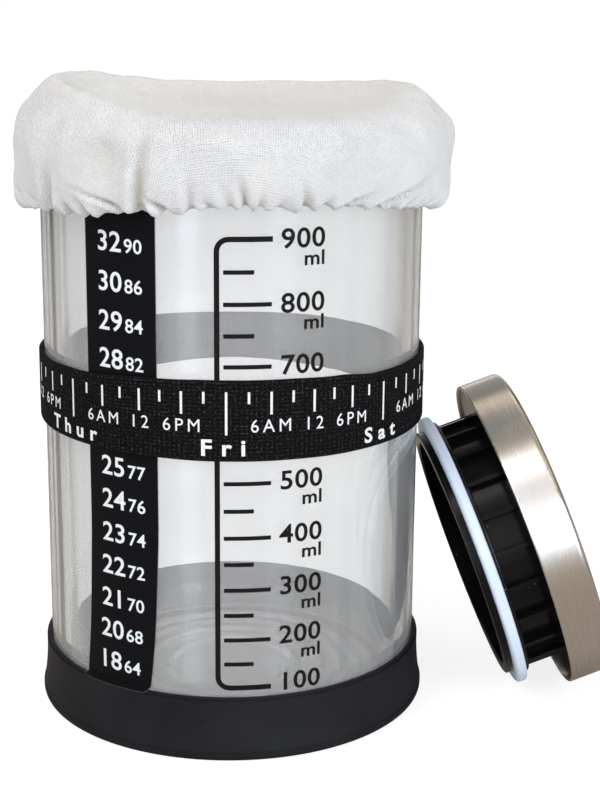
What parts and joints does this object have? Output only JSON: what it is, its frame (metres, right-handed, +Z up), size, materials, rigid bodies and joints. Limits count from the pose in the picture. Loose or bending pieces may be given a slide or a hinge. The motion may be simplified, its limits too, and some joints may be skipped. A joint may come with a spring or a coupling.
{
  "type": "sourdough starter jar",
  "caption": "Straight glass starter jar in a silicone boot, with thermometer strip, sliding date band, gathered cloth cover and a leaning plug lid with steel cap.",
  "frame": {"origin": "on the table, at the centre of the boot's flat underside, on the jar's axis", "axes": "+Z up along the jar's axis; -Y is the front, towards the middle of the printed scale; +X to the right, where the lid leans"},
  "size_m": [0.1649, 0.1163, 0.1672],
  "materials": {
    "boot_silicone": "matt black silicone",
    "jar_glass": "clear soda-lime glass",
    "strip_film": "black laminated film with white numbers",
    "band_weave": "black woven elastic",
    "cover_cloth": "unbleached muslin",
    "hem_elastic": "flat white elastic",
    "cap_steel": "fine circular brushing",
    "plug_plastic": "black moulded plastic, semi-gloss",
    "ring_silicone": "translucent white silicone"
  },
  "bodies": {
    "boot": {"silicone_boot": "boot_silicone"},
    "jar": {"glass_jar": "jar_glass", "thermometer_strip": "strip_film"},
    "band": {"date_band": "band_weave"},
    "cover": {"cloth_cover": "cover_cloth", "cover_elastic": "hem_elastic"},
    "lid": {"lid_cap": "cap_steel", "lid_plug": "plug_plastic", "lid_gasket": "ring_silicone"}
  },
  "joints": [
    {"name": "jar_lift", "type": "slide", "parent": "boot", "child": "jar", "axis": [0, 0, 1], "range_m": [0, 0.06]},
    {"name": "band_slide", "type": "slide", "parent": "jar", "child": "band", "axis": [0, 0, 1], "range_m": [-0.0635, 0.037]},
    {"name": "cover_lift", "type": "slide", "parent": "jar", "child": "cover", "axis": [0, 0, 1], "range_m": [0, 0.09]},
    {"name": "lid_slide", "type": "slide", "parent": "boot", "child": "lid", "axis": [0.9976, 0.0698, 0], "range_m": [0, 0.1]}
  ]
}
